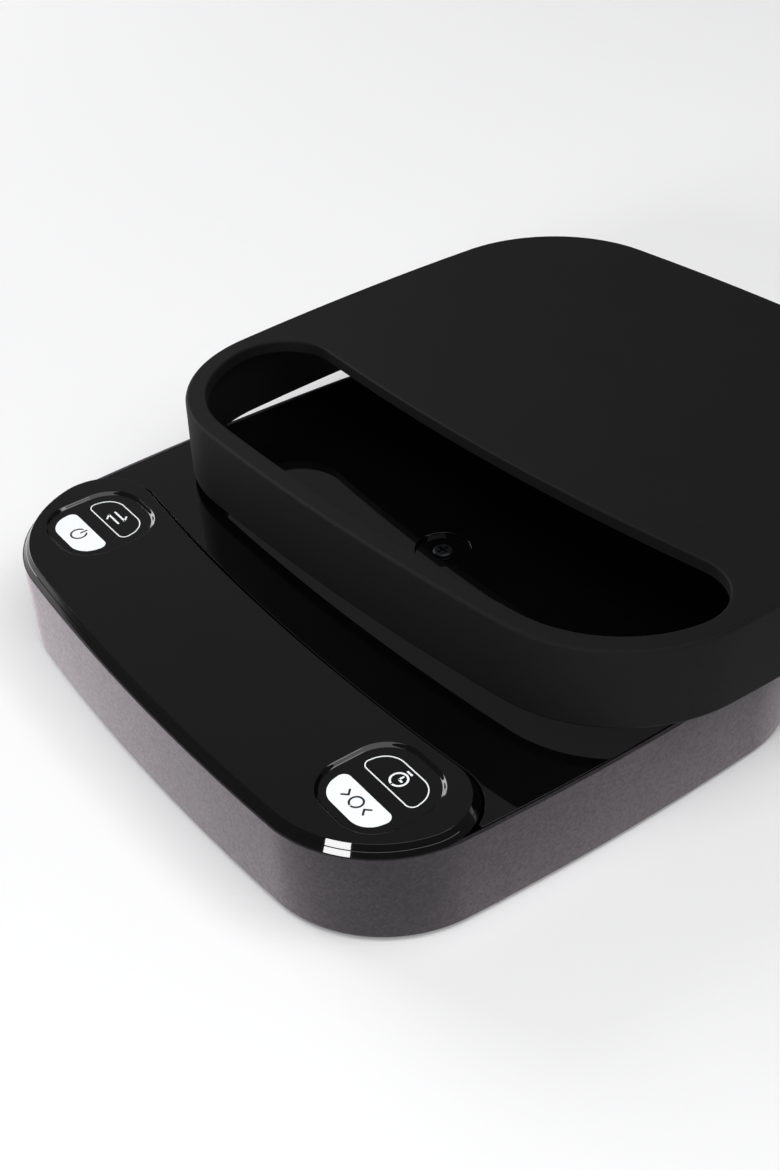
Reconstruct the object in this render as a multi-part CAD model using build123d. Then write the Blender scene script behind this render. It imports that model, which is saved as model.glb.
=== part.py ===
"""Kitchen scale with a raised touch panel, a floating weighing platform and a lift-off cover.

Millimetres, +Z up.  The base is modelled about its own centre with its feet on Z = 0, and the
finished assembly is then moved so that its box stands centred on the origin.
"""
import os
from math import cos, radians, sin, sqrt

from build123d import *

# Base outline: bowed sides joined by round corners
WIDTH = 150.0
DEPTH = 129.0
BOW = 615.0
CORNER = 28.0

# Heights of the base
FOOT_PROUD = 0.8
PLATE = 2.0
SHELL_HEIGHT = 20.6
PANEL_RISE = 2.4

# Outer shell
SHELL_WALL = 2.2
LIP = 0.8
LIP_HEIGHT = 3.2
SHELL_TOP_ROUND = 0.3
SHELL_FOOT_ROUND = 0.6
PILLAR_R = 3.5
PILLAR_X = 36.0
PILLAR_SINK = 0.6
PILLAR_HEIGHT = 11.0

# Named clearances
SNUG = 0.15
PLATFORM_GAP = 0.35
DOOR_GAP = 0.3
COVER_CLEAR = 3.0
COVER_GAP = 0.3
SCREW_CLEAR = 0.05
SEAT_GAP = 0.2

# Control panel and its two key wells
PANEL_DEPTH = 35.8
PANEL_CORNER = 13.0
PANEL_INSET = 0.3
PANEL_TIER = 1.2
PANEL_STEP = 1.0
PANEL_EDGE = 0.6
PANEL_SKIN = 2.0
PANEL_SKIRT = 1.6
SKIRT_DROP = 2.8
WELL_END = 20.2
WELL_Y = 22.7
WELL_WIDTH = 22.0
WELL_LENGTH = 22.9
WELL_CORNER = 8.5
WELL_DEPTH = 0.7
WELL_SLOPE = 50.0
WELL_ROUND = 0.3
WELL_PAD = 1.1

# Weighing platform and what carries it
PLATFORM_SKIN = 1.8
PLATFORM_RIM = 0.6
PLATFORM_RIM_WALL = 1.6
PLATFORM_EDGE = 0.5
PLATFORM_TIP = 0.6
PLATFORM_TRAVEL = 0.5
MARK_Y = 13.5
MARK_R = 6.2
MARK_DEPTH = 0.8
HUB_R = 8.0
POST_R = 3.0
POST_X = 33.0
POST_REACH = 29.0
CARRIER_WIDTH = 78.0
CARRIER_LENGTH = 76.0
CARRIER_CORNER = 8.0
CARRIER_PLATE = 1.2
CARRIER_FLANGE = 0.9
CARRIER_BAR = 11.0

# Load cell, along Y
CELL_Y = 18.0
CELL_LENGTH = 72.0
CELL_WIDTH = 12.0
CELL_HEIGHT = 10.0
CELL_HOLE_R = 3.6
CELL_HOLE_SPAN = 16.0
CELL_SLOT = 2.4
CELL_SCREW_R = 1.5
CELL_SCREW_PITCH = 9.0
CELL_SCREW_EDGE = 4.5
PLINTH = 1.6
PLINTH_MARGIN = 2.0
SPACER = 2.0
STOP_X = 31.0
STOP_REACH = 27.0
STOP_R = 2.0
STOP_BOSS_R = 3.6
STOP_BOSS = 6.0

# Screws
HEAD_RATIO = 1.85
HEAD_HEIGHT = 1.4
DRIVE_SLOT = 0.7
SMALL_SCREW_R = 1.2
SCREW_BITE = 7.0

# Feet and bottom housing
FOOT_R = 5.0
FOOT_SINK = 0.6
FOOT_X = 53.0
FOOT_Y = 43.0
RIM_WALL = 1.5
RIM_HEIGHT = 5.0
BOSS_RISE = 1.2

# Battery bay and its door
BATTERY_R = 5.25
BATTERY_LENGTH = 43.5
BATTERY_NUB_R = 1.9
BATTERY_NUB = 1.0
CONTACT = 0.4
CONTACT_BULGE = 2.0
CONTACT_RISE = 8.0
BAY_X = -37.5
BAY_Y = 13.0
BAY_WALL = 1.4
BAY_ROOF = 1.2
BAY_PLAY = 0.4
TAB_REACH = 2.0
TAB_WIDTH = 8.0
TAB_THICK = 1.0
TAB_SPREAD = 15.0
LATCH_WIDTH = 12.0
LATCH_REACH = 1.2
LATCH_GRIP = 0.8

# Electronics
BOARD_WIDTH = 122.0
BOARD_LENGTH = 20.0
BOARD_THICK = 1.6
BOARD_Y = 20.6
BOARD_CORNER = 3.0
BOARD_DROP = 4.6
BOARD_BOSS_R = 2.6
BOARD_BOSS_X = 38.0
BOARD_BOSS_Y = 7.0
DISPLAY_WIDTH = 42.0
DISPLAY_LENGTH = 15.0
DISPLAY_FRAME = 1.2
DISPLAY_SINK = 0.4
PAD_R = 3.4
PAD_SPLIT = 5.3
BUZZER_R = 6.0
BUZZER_HEIGHT = 4.4
BUZZER_PORT_R = 1.2
BUZZER_X = 26.0
WIRE_R = 1.1
WIRE_RUN = 8.0
WIRE_SAG = 2.5

# Cover, tilted where it was laid down behind the panel
COVER_WALL = 2.6
COVER_HEIGHT = 18.6
COVER_TOP = 2.8
COVER_ROUND = 1.5
COVER_FOOT_ROUND = 0.8
WINDOW_CLEAR = 0.7
WINDOW_GROW = 0.7
WINDOW_ROUND = 0.8
COVER_X = -2.0
COVER_Y = 54.2
COVER_REST = 45.0
COVER_PITCH = -2.2
COVER_LEAN = -1.5
COVER_TURN = 4.0

# Levels worked out from the heights above
FLOOR = FOOT_PROUD + PLATE
DECK_TOP = FOOT_PROUD + SHELL_HEIGHT
REBATE = DECK_TOP - LIP_HEIGHT
PANEL_TOP = DECK_TOP + PANEL_RISE
PANEL_UNDER = PANEL_TOP - PANEL_SKIN
PLATFORM_UNDER = DECK_TOP - PLATFORM_SKIN
CELL_BOTTOM = FLOOR + PLINTH
CELL_TOP = CELL_BOTTOM + CELL_HEIGHT
CARRIER_BOTTOM = CELL_TOP + SPACER
CARRIER_TOP = CARRIER_BOTTOM + CARRIER_PLATE
BOARD_TOP = DECK_TOP - BOARD_DROP
BOARD_BOTTOM = BOARD_TOP - BOARD_THICK
FRONT = -DEPTH / 2
WELL_X = WIDTH / 2 - WELL_END
BOARD_CENTRE_Y = FRONT + BOARD_Y
WELL_CENTRE_Y = FRONT + WELL_Y
UP = (0, 0, 1)


def corner_centre():
    """Centre of the front right corner arc, tangent inside the front bow and the right bow."""
    front = Vector(0, FRONT + BOW)
    side = Vector(WIDTH / 2 - BOW, 0)
    reach = BOW - CORNER
    between = side - front
    rise = sqrt(reach ** 2 - (between.length / 2) ** 2)
    across = Vector(-between.Y, between.X).normalized()
    return (front + side) * 0.5 + across * rise


def outline(grow=0.0):
    """Face of the base outline, grown outwards by the given amount: eight tangent arcs."""
    centre = corner_centre()
    front = Vector(0, FRONT + BOW)
    side = Vector(WIDTH / 2 - BOW, 0)
    to_front = (centre - front).normalized()
    to_side = (centre - side).normalized()
    on_front = front + to_front * (BOW + grow)
    on_side = side + to_side * (BOW + grow)
    mid = centre + (to_front + to_side).normalized() * (CORNER + grow)
    arcs = Curve()
    for turn in (1, -1):
        edge_y = -turn * (FRONT - grow)
        edge_x = turn * (WIDTH / 2 + grow)
        front_y = -turn * on_front.Y
        arcs += ThreePointArc((-on_front.X, front_y), (0, edge_y), (on_front.X, front_y))
        arcs += ThreePointArc((turn * on_side.X, on_side.Y), (edge_x, 0), (turn * on_side.X, -on_side.Y))
        for flip in (1, -1):
            arcs += ThreePointArc((turn * on_front.X, flip * on_front.Y), (turn * mid.X, flip * mid.Y),
                                  (turn * on_side.X, flip * on_side.Y))
    return make_face(arcs)


def front_band(grow, depth):
    """Band along the front edge of the grown outline, with its back corners rounded.

    The core lies one corner radius inside the band, so growing it back rounds the corners.
    """
    core = outline(grow - PANEL_CORNER) - Pos(0, FRONT + BOW) * Circle(BOW - depth + PANEL_CORNER)
    return offset(core, PANEL_CORNER)


def panel_outline(grow=0.0):
    """Control panel outline, grown outwards on every side by the given amount."""
    return front_band(grow - PANEL_INSET, PANEL_DEPTH + grow)


def prism(face, low, high):
    """Straight solid over a face between two heights."""
    return Pos(0, 0, low) * extrude(face, amount=high - low, dir=UP)


def rod(radius, x, y, low, high):
    """Upright cylinder between two heights."""
    return Pos(x, y, low) * Cylinder(radius, high - low, align=(Align.CENTER, Align.CENTER, Align.MIN))


def block(x_low, x_high, y_low, y_high, low, high):
    """Square-edged block between six planes."""
    size = (x_high - x_low, y_high - y_low, high - low)
    return Pos(x_low, y_low, low) * Box(*size, align=(Align.MIN, Align.MIN, Align.MIN))


def edges_at(part, height):
    """Edges that lie wholly at one height."""
    return part.edges().filter_by_position(Axis.Z, height - 1e-4, height + 1e-4)


def corners(x, y):
    """Four places that mirror one another about both axes."""
    return [(sx * x, sy * y) for sy in (-1, 1) for sx in (-1, 1)]


def screw(radius, length, head_up=True):
    """Pan-headed screw with its head's seat at Z = 0; the shank runs away from the head."""
    head_r = radius * HEAD_RATIO
    body = rod(head_r, 0, 0, 0, HEAD_HEIGHT) + rod(radius, 0, 0, -length, 0)
    body = fillet(edges_at(body, HEAD_HEIGHT), HEAD_HEIGHT / 3)
    for angle in (0, 90):
        slot = Box(head_r * 1.3, DRIVE_SLOT, HEAD_HEIGHT, align=(Align.CENTER, Align.CENTER, Align.MIN))
        body -= Pos(0, 0, HEAD_HEIGHT / 2) * Rot(0, 0, angle) * slot
    return body if head_up else Rot(180, 0, 0) * body


# Places shared by pieces that meet
PILLAR_Y = DEPTH / 2 - (BOW - sqrt(BOW ** 2 - PILLAR_X ** 2)) - SHELL_WALL - PILLAR_R + PILLAR_SINK
PILLARS = corners(PILLAR_X, PILLAR_Y)
FEET = corners(FOOT_X, FOOT_Y)
STOPS = [(sx * STOP_X, CELL_Y + sy * STOP_REACH) for sy in (-1, 1) for sx in (-1, 1)]
POSTS = [(sx * POST_X, CELL_Y + sy * POST_REACH) for sy in (-1, 1) for sx in (-1, 1)]
BOARD_BOSSES = [(x, BOARD_CENTRE_Y + y) for x, y in corners(BOARD_BOSS_X, BOARD_BOSS_Y)]
CELL_FRONT = CELL_Y - CELL_LENGTH / 2
CELL_BACK = CELL_Y + CELL_LENGTH / 2
FIXED_SCREWS = [CELL_FRONT + CELL_SCREW_EDGE + i * CELL_SCREW_PITCH for i in range(2)]
FREE_SCREWS = [CELL_BACK - CELL_SCREW_EDGE - i * CELL_SCREW_PITCH for i in range(2)]
CELL_PAD = CELL_SCREW_PITCH + 2 * CELL_SCREW_EDGE
WELLS = {"left": -WELL_X, "right": WELL_X}
KEYS = {"power": ("left", -1), "mode": ("left", 1), "tare": ("right", -1), "timer": ("right", 1)}
HEAD_R = CELL_SCREW_R * HEAD_RATIO
SMALL_HEAD_R = SMALL_SCREW_R * HEAD_RATIO
BOSS_TOP = FLOOR + BOSS_RISE

# Battery bay: two cells side by side along X, with the hinge tabs' room behind them
BAY_LENGTH = BATTERY_LENGTH + BATTERY_NUB + 2 * (CONTACT + CONTACT_BULGE)
BAY_DEPTH = 4 * BATTERY_R + 3 * BAY_PLAY
BAY_LEFT = BAY_X - BAY_LENGTH / 2
BAY_RIGHT = BAY_X + BAY_LENGTH / 2
BAY_FRONT = BAY_Y - BAY_DEPTH / 2
BAY_REAR = BAY_Y + BAY_DEPTH / 2
TAB_ROOM = TAB_REACH + DOOR_GAP + BAY_PLAY
BATTERY_Z = FLOOR + BAY_PLAY + BATTERY_R
BAY_TOP = BATTERY_Z + BATTERY_R + BAY_PLAY
BATTERY_Y = [BAY_Y + s * (BATTERY_R + BAY_PLAY / 2) for s in (-1, 1)]


def make_outer_shell():
    """Side wall of the base: a bowed ring with a thin top lip, a rebate and four screw pillars."""
    ring = prism(outline(), FOOT_PROUD, DECK_TOP)
    ring = fillet(edges_at(ring, DECK_TOP), SHELL_TOP_ROUND)
    ring = fillet(edges_at(ring, FOOT_PROUD), SHELL_FOOT_ROUND)
    ring -= prism(outline(-SHELL_WALL), 0, DECK_TOP)
    ring -= prism(outline(-LIP), REBATE, PANEL_TOP)
    for x, y in PILLARS:
        ring += rod(PILLAR_R, x, y, BOSS_TOP, BOSS_TOP + PILLAR_HEIGHT) & prism(outline(-LIP), 0, DECK_TOP)
        ring -= rod(SMALL_SCREW_R + SCREW_CLEAR, x, y, 0, BOSS_TOP + SCREW_BITE + SCREW_CLEAR)
    return ring


def make_bottom_housing():
    """Floor of the base with its rim, screw bosses, cell plinth, stop bosses and battery bay."""
    body = prism(outline(-SHELL_WALL - SNUG), FOOT_PROUD, FLOOR)
    rim = outline(-SHELL_WALL - SNUG) - outline(-SHELL_WALL - SNUG - RIM_WALL)
    body += prism(rim, FLOOR, FLOOR + RIM_HEIGHT)
    for x, y in PILLARS:
        body -= rod(PILLAR_R + DOOR_GAP, x, y, FLOOR, FLOOR + 2 * RIM_HEIGHT)
        body += rod(PILLAR_R, x, y, FLOOR, BOSS_TOP) & prism(outline(-SHELL_WALL - SNUG), FLOOR, BOSS_TOP)
        body -= rod(SMALL_SCREW_R + SCREW_CLEAR, x, y, 0, BOSS_TOP)
        body -= rod(SMALL_HEAD_R + SEAT_GAP, x, y, 0, FOOT_PROUD + HEAD_HEIGHT + SEAT_GAP)
    for x, y in FEET:
        body -= rod(FOOT_R + SCREW_CLEAR, x, y, 0, FOOT_PROUD + FOOT_SINK)
    half = CELL_WIDTH / 2 + PLINTH_MARGIN
    body += block(-half, half, CELL_FRONT - PLINTH_MARGIN, CELL_FRONT + CELL_PAD, FLOOR, CELL_BOTTOM)
    for y in FIXED_SCREWS:
        body -= rod(CELL_SCREW_R + SCREW_CLEAR, 0, y, 0, CELL_BOTTOM)
        body -= rod(HEAD_R + SEAT_GAP, 0, y, 0, FOOT_PROUD + HEAD_HEIGHT + SEAT_GAP)
    for x, y in STOPS:
        body += rod(STOP_BOSS_R, x, y, FLOOR, FLOOR + STOP_BOSS)
        body -= rod(STOP_R + SCREW_CLEAR, x, y, FLOOR, FLOOR + STOP_BOSS)
    body += block(BAY_LEFT - BAY_WALL, BAY_RIGHT + BAY_WALL, BAY_FRONT - BAY_WALL,
                  BAY_REAR + TAB_ROOM + BAY_WALL, FLOOR, BAY_TOP + BAY_ROOF)
    body -= block(BAY_LEFT, BAY_RIGHT, BAY_FRONT, BAY_REAR + TAB_ROOM, FLOOR, BAY_TOP)
    body -= block(BAY_LEFT, BAY_RIGHT, BAY_FRONT, BAY_REAR, 0, FLOOR)
    half = LATCH_WIDTH / 2 + DOOR_GAP
    body -= block(BAY_X - half, BAY_X + half, BAY_FRONT - LATCH_REACH - DOOR_GAP, BAY_FRONT, 0, FLOOR)
    return body


def make_foot(x, y):
    """Rubber foot let into the floor, with a rounded lower edge."""
    foot = rod(FOOT_R, x, y, 0, FOOT_PROUD + FOOT_SINK)
    return fillet(edges_at(foot, 0), FOOT_PROUD / 2)


def well_outline(grow=0.0):
    """Rounded square outline of a key well."""
    corner = WELL_CORNER + grow
    return RectangleRounded(WELL_WIDTH + 2 * grow, WELL_LENGTH + 2 * grow, corner)


def make_control_panel():
    """Raised glossy panel: a front band in two rounded tiers, hollow below, with two key wells."""
    tier = DECK_TOP + PANEL_TIER
    body = prism(panel_outline(), DECK_TOP, tier)
    body = fillet(edges_at(body, tier), PANEL_EDGE)
    upper = prism(panel_outline(-PANEL_STEP), DECK_TOP, PANEL_TOP)
    body += fillet(edges_at(upper, PANEL_TOP), PANEL_EDGE)
    skirt = panel_outline(-(LIP - PANEL_INSET) - SNUG)
    hollow = panel_outline(-(LIP - PANEL_INSET) - SNUG - PANEL_SKIRT)
    body += prism(skirt, DECK_TOP - SKIRT_DROP, DECK_TOP)
    body -= prism(hollow, DECK_TOP - SKIRT_DROP, PANEL_UNDER)
    for x in WELLS.values():
        place = Pos(x, WELL_CENTRE_Y, PANEL_TOP)
        body += Pos(x, WELL_CENTRE_Y, PANEL_UNDER) * extrude(well_outline(), amount=-WELL_PAD)
        body -= place * extrude(well_outline(), amount=-WELL_DEPTH, taper=WELL_SLOPE)
    for x, y in BOARD_BOSSES:
        body += rod(BOARD_BOSS_R, x, y, BOARD_TOP, PANEL_UNDER)
        body -= rod(SMALL_SCREW_R + SCREW_CLEAR, x, y, BOARD_TOP, BOARD_TOP + BOARD_DROP)
    wells = [edge for edge in edges_at(body, PANEL_TOP) if abs(edge.center().X) > WELL_X - WELL_WIDTH]
    rims = [edge for edge in wells if abs(edge.center().Y - WELL_CENTRE_Y) < WELL_LENGTH * 0.55
            and abs(abs(edge.center().X) - WELL_X) < WELL_WIDTH * 0.55]
    return fillet(rims, WELL_ROUND)


def make_weighing_platform():
    """Floating deck behind the panel, with a rim, four posts and a hub under its round recess."""
    face = outline(-LIP - PLATFORM_GAP) - panel_outline(PLATFORM_GAP)
    face = offset(offset(face, -PLATFORM_TIP), PLATFORM_TIP)
    body = prism(face, PLATFORM_UNDER, DECK_TOP)
    body = fillet(edges_at(body, DECK_TOP), PLATFORM_EDGE)
    body += prism(face - offset(face, -PLATFORM_RIM_WALL), PLATFORM_UNDER - PLATFORM_RIM, PLATFORM_UNDER)
    for x, y in POSTS:
        body += rod(POST_R, x, y, CARRIER_TOP, PLATFORM_UNDER)
    body += rod(HUB_R, 0, MARK_Y, CARRIER_TOP, PLATFORM_UNDER)
    body -= rod(MARK_R, 0, MARK_Y, DECK_TOP - MARK_DEPTH, PANEL_TOP)
    body -= rod(SMALL_HEAD_R + SEAT_GAP, 0, MARK_Y, DECK_TOP - MARK_DEPTH - HEAD_HEIGHT / 2, DECK_TOP)
    body -= rod(SMALL_SCREW_R + SCREW_CLEAR, 0, MARK_Y, CARRIER_TOP, DECK_TOP)
    return body


def make_platform_screw():
    """Screw that holds the platform to its carrier, sunk in the round recess."""
    seat = DECK_TOP - MARK_DEPTH - HEAD_HEIGHT / 2
    return Pos(0, MARK_Y, seat) * screw(SMALL_SCREW_R, seat - CARRIER_BOTTOM)


def make_platform_carrier():
    """Pressed plate under the platform: a flanged frame with a bar over the load cell."""
    place = Pos(0, CELL_Y)
    frame = RectangleRounded(CARRIER_WIDTH, CARRIER_LENGTH, CARRIER_CORNER)
    inner_size = (CARRIER_WIDTH - 2 * CARRIER_BAR, CARRIER_LENGTH - 2 * CARRIER_BAR)
    inner = RectangleRounded(*inner_size, CARRIER_CORNER / 2)
    bar = Rectangle(CELL_WIDTH + CARRIER_BAR, CARRIER_LENGTH - CARRIER_BAR)
    plate = prism(place * (frame - inner + bar), CARRIER_BOTTOM, CARRIER_TOP)
    flange = frame - offset(frame, -CARRIER_PLATE)
    plate += prism(place * flange, CARRIER_TOP, CARRIER_TOP + CARRIER_FLANGE)
    plate -= rod(SMALL_SCREW_R + SCREW_CLEAR, 0, MARK_Y, CARRIER_BOTTOM, CARRIER_TOP)
    for y in FREE_SCREWS:
        plate -= rod(CELL_SCREW_R + SCREW_CLEAR, 0, y, CARRIER_BOTTOM, CARRIER_TOP)
    return plate


def make_cell_spacer():
    """Pad between the load cell's free end and the carrier."""
    half = CELL_WIDTH / 2
    pad = block(-half, half, CELL_BACK - CELL_PAD, CELL_BACK, CELL_TOP, CARRIER_BOTTOM)
    for y in FREE_SCREWS:
        pad -= rod(CELL_SCREW_R + SCREW_CLEAR, 0, y, CELL_TOP, CARRIER_BOTTOM)
    return pad


def make_load_cell():
    """Aluminium bending beam with the twin-hole cut-out that makes it flex."""
    half = CELL_WIDTH / 2
    beam = block(-half, half, CELL_FRONT, CELL_BACK, CELL_BOTTOM, CELL_TOP)
    centre = Pos(0, CELL_Y, (CELL_BOTTOM + CELL_TOP) / 2) * Rot(0, 90, 0)
    for side in (-1, 1):
        beam -= centre * Pos(0, side * CELL_HOLE_SPAN / 2) * Cylinder(CELL_HOLE_R, CELL_WIDTH)
    beam -= centre * Box(CELL_SLOT, CELL_HOLE_SPAN, CELL_WIDTH)
    for y in FIXED_SCREWS + FREE_SCREWS:
        beam -= rod(CELL_SCREW_R + SCREW_CLEAR, 0, y, CELL_BOTTOM, CELL_TOP)
    return beam


def make_cell_screws():
    """Two screws up through the floor into the load cell's fixed end."""
    seat = FOOT_PROUD + HEAD_HEIGHT + SEAT_GAP
    length = CELL_BOTTOM + SCREW_BITE - seat
    return [Pos(0, y, seat) * screw(CELL_SCREW_R, length, head_up=False) for y in FIXED_SCREWS]


def make_carrier_screws():
    """Two screws down through the carrier and spacer into the load cell's free end."""
    length = CARRIER_TOP - CELL_TOP + SCREW_BITE
    return [Pos(0, y, CARRIER_TOP) * screw(CELL_SCREW_R, length) for y in FREE_SCREWS]


def make_overload_stops():
    """Set screws that stop the carrier just past its full travel."""
    top = CARRIER_BOTTOM - PLATFORM_TRAVEL - SCREW_CLEAR
    stops = []
    for x, y in STOPS:
        stop = rod(STOP_R, x, y, FLOOR, top)
        slot = block(x - STOP_R, x + STOP_R, y - DRIVE_SLOT / 2, y + DRIVE_SLOT / 2, top - DRIVE_SLOT, top)
        stops.append(stop - slot)
    return stops


def make_housing_screws():
    """Four screws up through the floor into the shell's pillars."""
    seat = FOOT_PROUD + HEAD_HEIGHT + SEAT_GAP
    length = BOSS_TOP + SCREW_BITE - seat
    return [Pos(x, y, seat) * screw(SMALL_SCREW_R, length, head_up=False) for x, y in PILLARS]


def make_main_board():
    """Circuit board hung from the panel's bosses."""
    sheet = Pos(0, BOARD_CENTRE_Y) * RectangleRounded(BOARD_WIDTH, BOARD_LENGTH, BOARD_CORNER)
    board = prism(sheet, BOARD_BOTTOM, BOARD_TOP)
    for x, y in BOARD_BOSSES:
        board -= rod(SMALL_SCREW_R + SCREW_CLEAR, x, y, BOARD_BOTTOM, BOARD_TOP)
    return board


def make_board_screws():
    """Four screws up through the board into the panel's bosses."""
    length = BOARD_THICK + BOARD_DROP - SEAT_GAP
    return [Pos(x, y, BOARD_BOTTOM) * screw(SMALL_SCREW_R, length, head_up=False) for x, y in BOARD_BOSSES]


def make_display_module():
    """Digit display behind the panel's dark skin: a framed block with a sunk face."""
    top = PANEL_UNDER - SEAT_GAP
    place = Pos(0, BOARD_CENTRE_Y)
    body = prism(place * Rectangle(DISPLAY_WIDTH, DISPLAY_LENGTH), BOARD_TOP, top)
    face = Rectangle(DISPLAY_WIDTH - 2 * DISPLAY_FRAME, DISPLAY_LENGTH - 2 * DISPLAY_FRAME)
    return body - prism(place * face, top - DISPLAY_SINK, top)


def make_touch_pad(side, row):
    """Conductive foam post between the board and the underside of one key."""
    y = WELL_CENTRE_Y + row * PAD_SPLIT
    return rod(PAD_R, WELLS[side], y, BOARD_TOP, PANEL_UNDER - WELL_PAD)


def make_buzzer():
    """Sounder on the board's underside, with its port facing down."""
    low = BOARD_BOTTOM - BUZZER_HEIGHT
    can = rod(BUZZER_R, BUZZER_X, BOARD_CENTRE_Y, low, BOARD_BOTTOM)
    can = fillet(edges_at(can, low), PLATFORM_EDGE)
    return can - rod(BUZZER_PORT_R, BUZZER_X, BOARD_CENTRE_Y, low, low + BUZZER_HEIGHT / 2)


def make_battery(index):
    """Round cell with a plain end and a raised contact; the two lie head to tail."""
    way = 1 - 2 * index
    can = Pos(-way * BATTERY_NUB / 2, 0) * Rot(0, 90, 0) * Cylinder(BATTERY_R, BATTERY_LENGTH)
    can = fillet(can.edges().filter_by(GeomType.CIRCLE), BAY_PLAY)
    nub_x = way * BATTERY_LENGTH / 2
    can += Pos(nub_x, 0) * Rot(0, 90, 0) * Cylinder(BATTERY_NUB_R, BATTERY_NUB)
    return Pos(BAY_X, BATTERY_Y[index], BATTERY_Z) * can


def make_contact(side):
    """Sheet-metal contact on one end wall of the bay, bowed towards each cell."""
    wall = BAY_X + side * BAY_LENGTH / 2
    inner = wall - side * CONTACT
    x_low, x_high = sorted((wall, inner))
    low = BATTERY_Z - CONTACT_RISE / 2
    strip = block(x_low, x_high, BAY_FRONT + BAY_PLAY, BAY_REAR - BAY_PLAY, low, low + CONTACT_RISE)
    half = BATTERY_NUB_R
    bow_r = (half ** 2 + CONTACT_BULGE ** 2) / (2 * CONTACT_BULGE)
    for y in BATTERY_Y:
        centre = Pos(inner - side * (CONTACT_BULGE - bow_r), y, BATTERY_Z)
        bow = centre * Cylinder(bow_r, CONTACT_RISE / 2)
        near, far = sorted((inner, inner - side * CONTACT_BULGE))
        strip += bow & block(near, far, y - bow_r, y + bow_r, low, low + CONTACT_RISE)
    return strip


def make_battery_door():
    """Door flush with the floor: two hinge tabs behind, a latch tongue in front, grip ribs below."""
    door = block(BAY_LEFT + DOOR_GAP, BAY_RIGHT - DOOR_GAP, BAY_FRONT + DOOR_GAP, BAY_REAR - DOOR_GAP,
                 FOOT_PROUD, FLOOR)
    for side in (-1, 1):
        left = BAY_X + side * TAB_SPREAD - TAB_WIDTH / 2
        right = left + TAB_WIDTH
        low = FLOOR + DOOR_GAP
        rear = BAY_REAR - DOOR_GAP
        door += block(left, right, rear - TAB_THICK, rear + TAB_REACH, low, low + TAB_THICK)
        door += block(left, right, rear - TAB_THICK, rear, FLOOR, low)
    half = LATCH_WIDTH / 2
    front = BAY_FRONT + DOOR_GAP
    door += block(BAY_X - half, BAY_X + half, front - LATCH_REACH, front, FOOT_PROUD, FLOOR)
    for row in range(3):
        y = front + (row + 1) * 2 * LATCH_GRIP
        door -= block(BAY_X - half, BAY_X + half, y, y + LATCH_GRIP, 0, FOOT_PROUD + LATCH_GRIP / 2)
    return door


def make_wire(points):
    """Sheathed lead along straight runs joined by tangent arcs."""
    vectors = [Vector(*point) for point in points]
    runs = [(b - a).length for a, b in zip(vectors, vectors[1:])]
    radii = []
    for i in range(1, len(vectors) - 1):
        turn = radians((vectors[i] - vectors[i - 1]).get_angle(vectors[i + 1] - vectors[i]))
        radii.append(0.45 * min(runs[i - 1], runs[i]) * cos(turn / 2) / sin(turn / 2))
    path = FilletPolyline(*points, radius=radii)
    section = Plane(origin=path @ 0, z_dir=path % 0) * Circle(WIRE_R)
    return sweep(section, path=path)


def make_cell_wire():
    """Lead from the load cell's side, forward to the board's underside."""
    x = CELL_WIDTH / 2
    z = (CELL_BOTTOM + CELL_TOP) / 2
    y = CELL_FRONT + CELL_PAD / 2
    board_y = BOARD_CENTRE_Y + BOARD_LENGTH / 4
    out = x + WIRE_RUN
    return make_wire([(x, y, z), (out, y, z), (out + WIRE_RUN / 2, (y + board_y) / 2, z - WIRE_SAG),
                      (out, board_y, z), (out, board_y, BOARD_BOTTOM)])


def make_battery_wire():
    """Lead from the bay's front wall to the board's underside."""
    y = BAY_FRONT - BAY_WALL
    board_y = BOARD_CENTRE_Y + BOARD_LENGTH / 4
    x = BAY_X + WIRE_RUN / 2
    return make_wire([(BAY_X, y, BATTERY_Z), (BAY_X, y - WIRE_RUN, BATTERY_Z),
                      (x, (y + board_y - WIRE_RUN) / 2, BATTERY_Z - WIRE_SAG), (x, board_y, BATTERY_Z),
                      (x, board_y, BOARD_BOTTOM)])


def cover_place():
    """Where the tilted cover lies: its rim just clears the deck where it crosses the left edge."""
    turn = Rot(0, 0, COVER_TURN) * Rot(0, COVER_LEAN, 0) * Rot(COVER_PITCH, 0, 0)
    normal = Plane(turn).z_dir
    rim_x = COVER_X - COVER_HEIGHT * normal.X
    rim_y = COVER_Y - COVER_HEIGHT * normal.Y
    rest_x = -WIDTH / 2
    rest_y = COVER_Y - COVER_REST
    rise = ((rest_x - rim_x) * normal.X + (rest_y - rim_y) * normal.Y) / normal.Z
    return Pos(COVER_X, COVER_Y, DECK_TOP + COVER_GAP + rise + COVER_HEIGHT * normal.Z) * turn


def make_cover():
    """Soft cap over the base: a thick wall, a flat top and a window for the raised panel."""
    cap = prism(outline(COVER_CLEAR + COVER_WALL), -COVER_HEIGHT, 0)
    cap = fillet(edges_at(cap, 0), COVER_ROUND)
    cap = fillet(edges_at(cap, -COVER_HEIGHT), COVER_FOOT_ROUND)
    cap -= prism(outline(COVER_CLEAR), -COVER_HEIGHT, -COVER_TOP)
    window = front_band(WINDOW_GROW, PANEL_DEPTH + WINDOW_CLEAR)
    cap -= prism(window, -COVER_TOP, 0)
    inside = [edge for edge in edges_at(cap, 0) if edge.center().Y < FRONT / 4
              and edge.bounding_box().min.Y > FRONT - 2 * WINDOW_GROW]
    return cover_place() * fillet(inside, WINDOW_ROUND)


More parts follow.
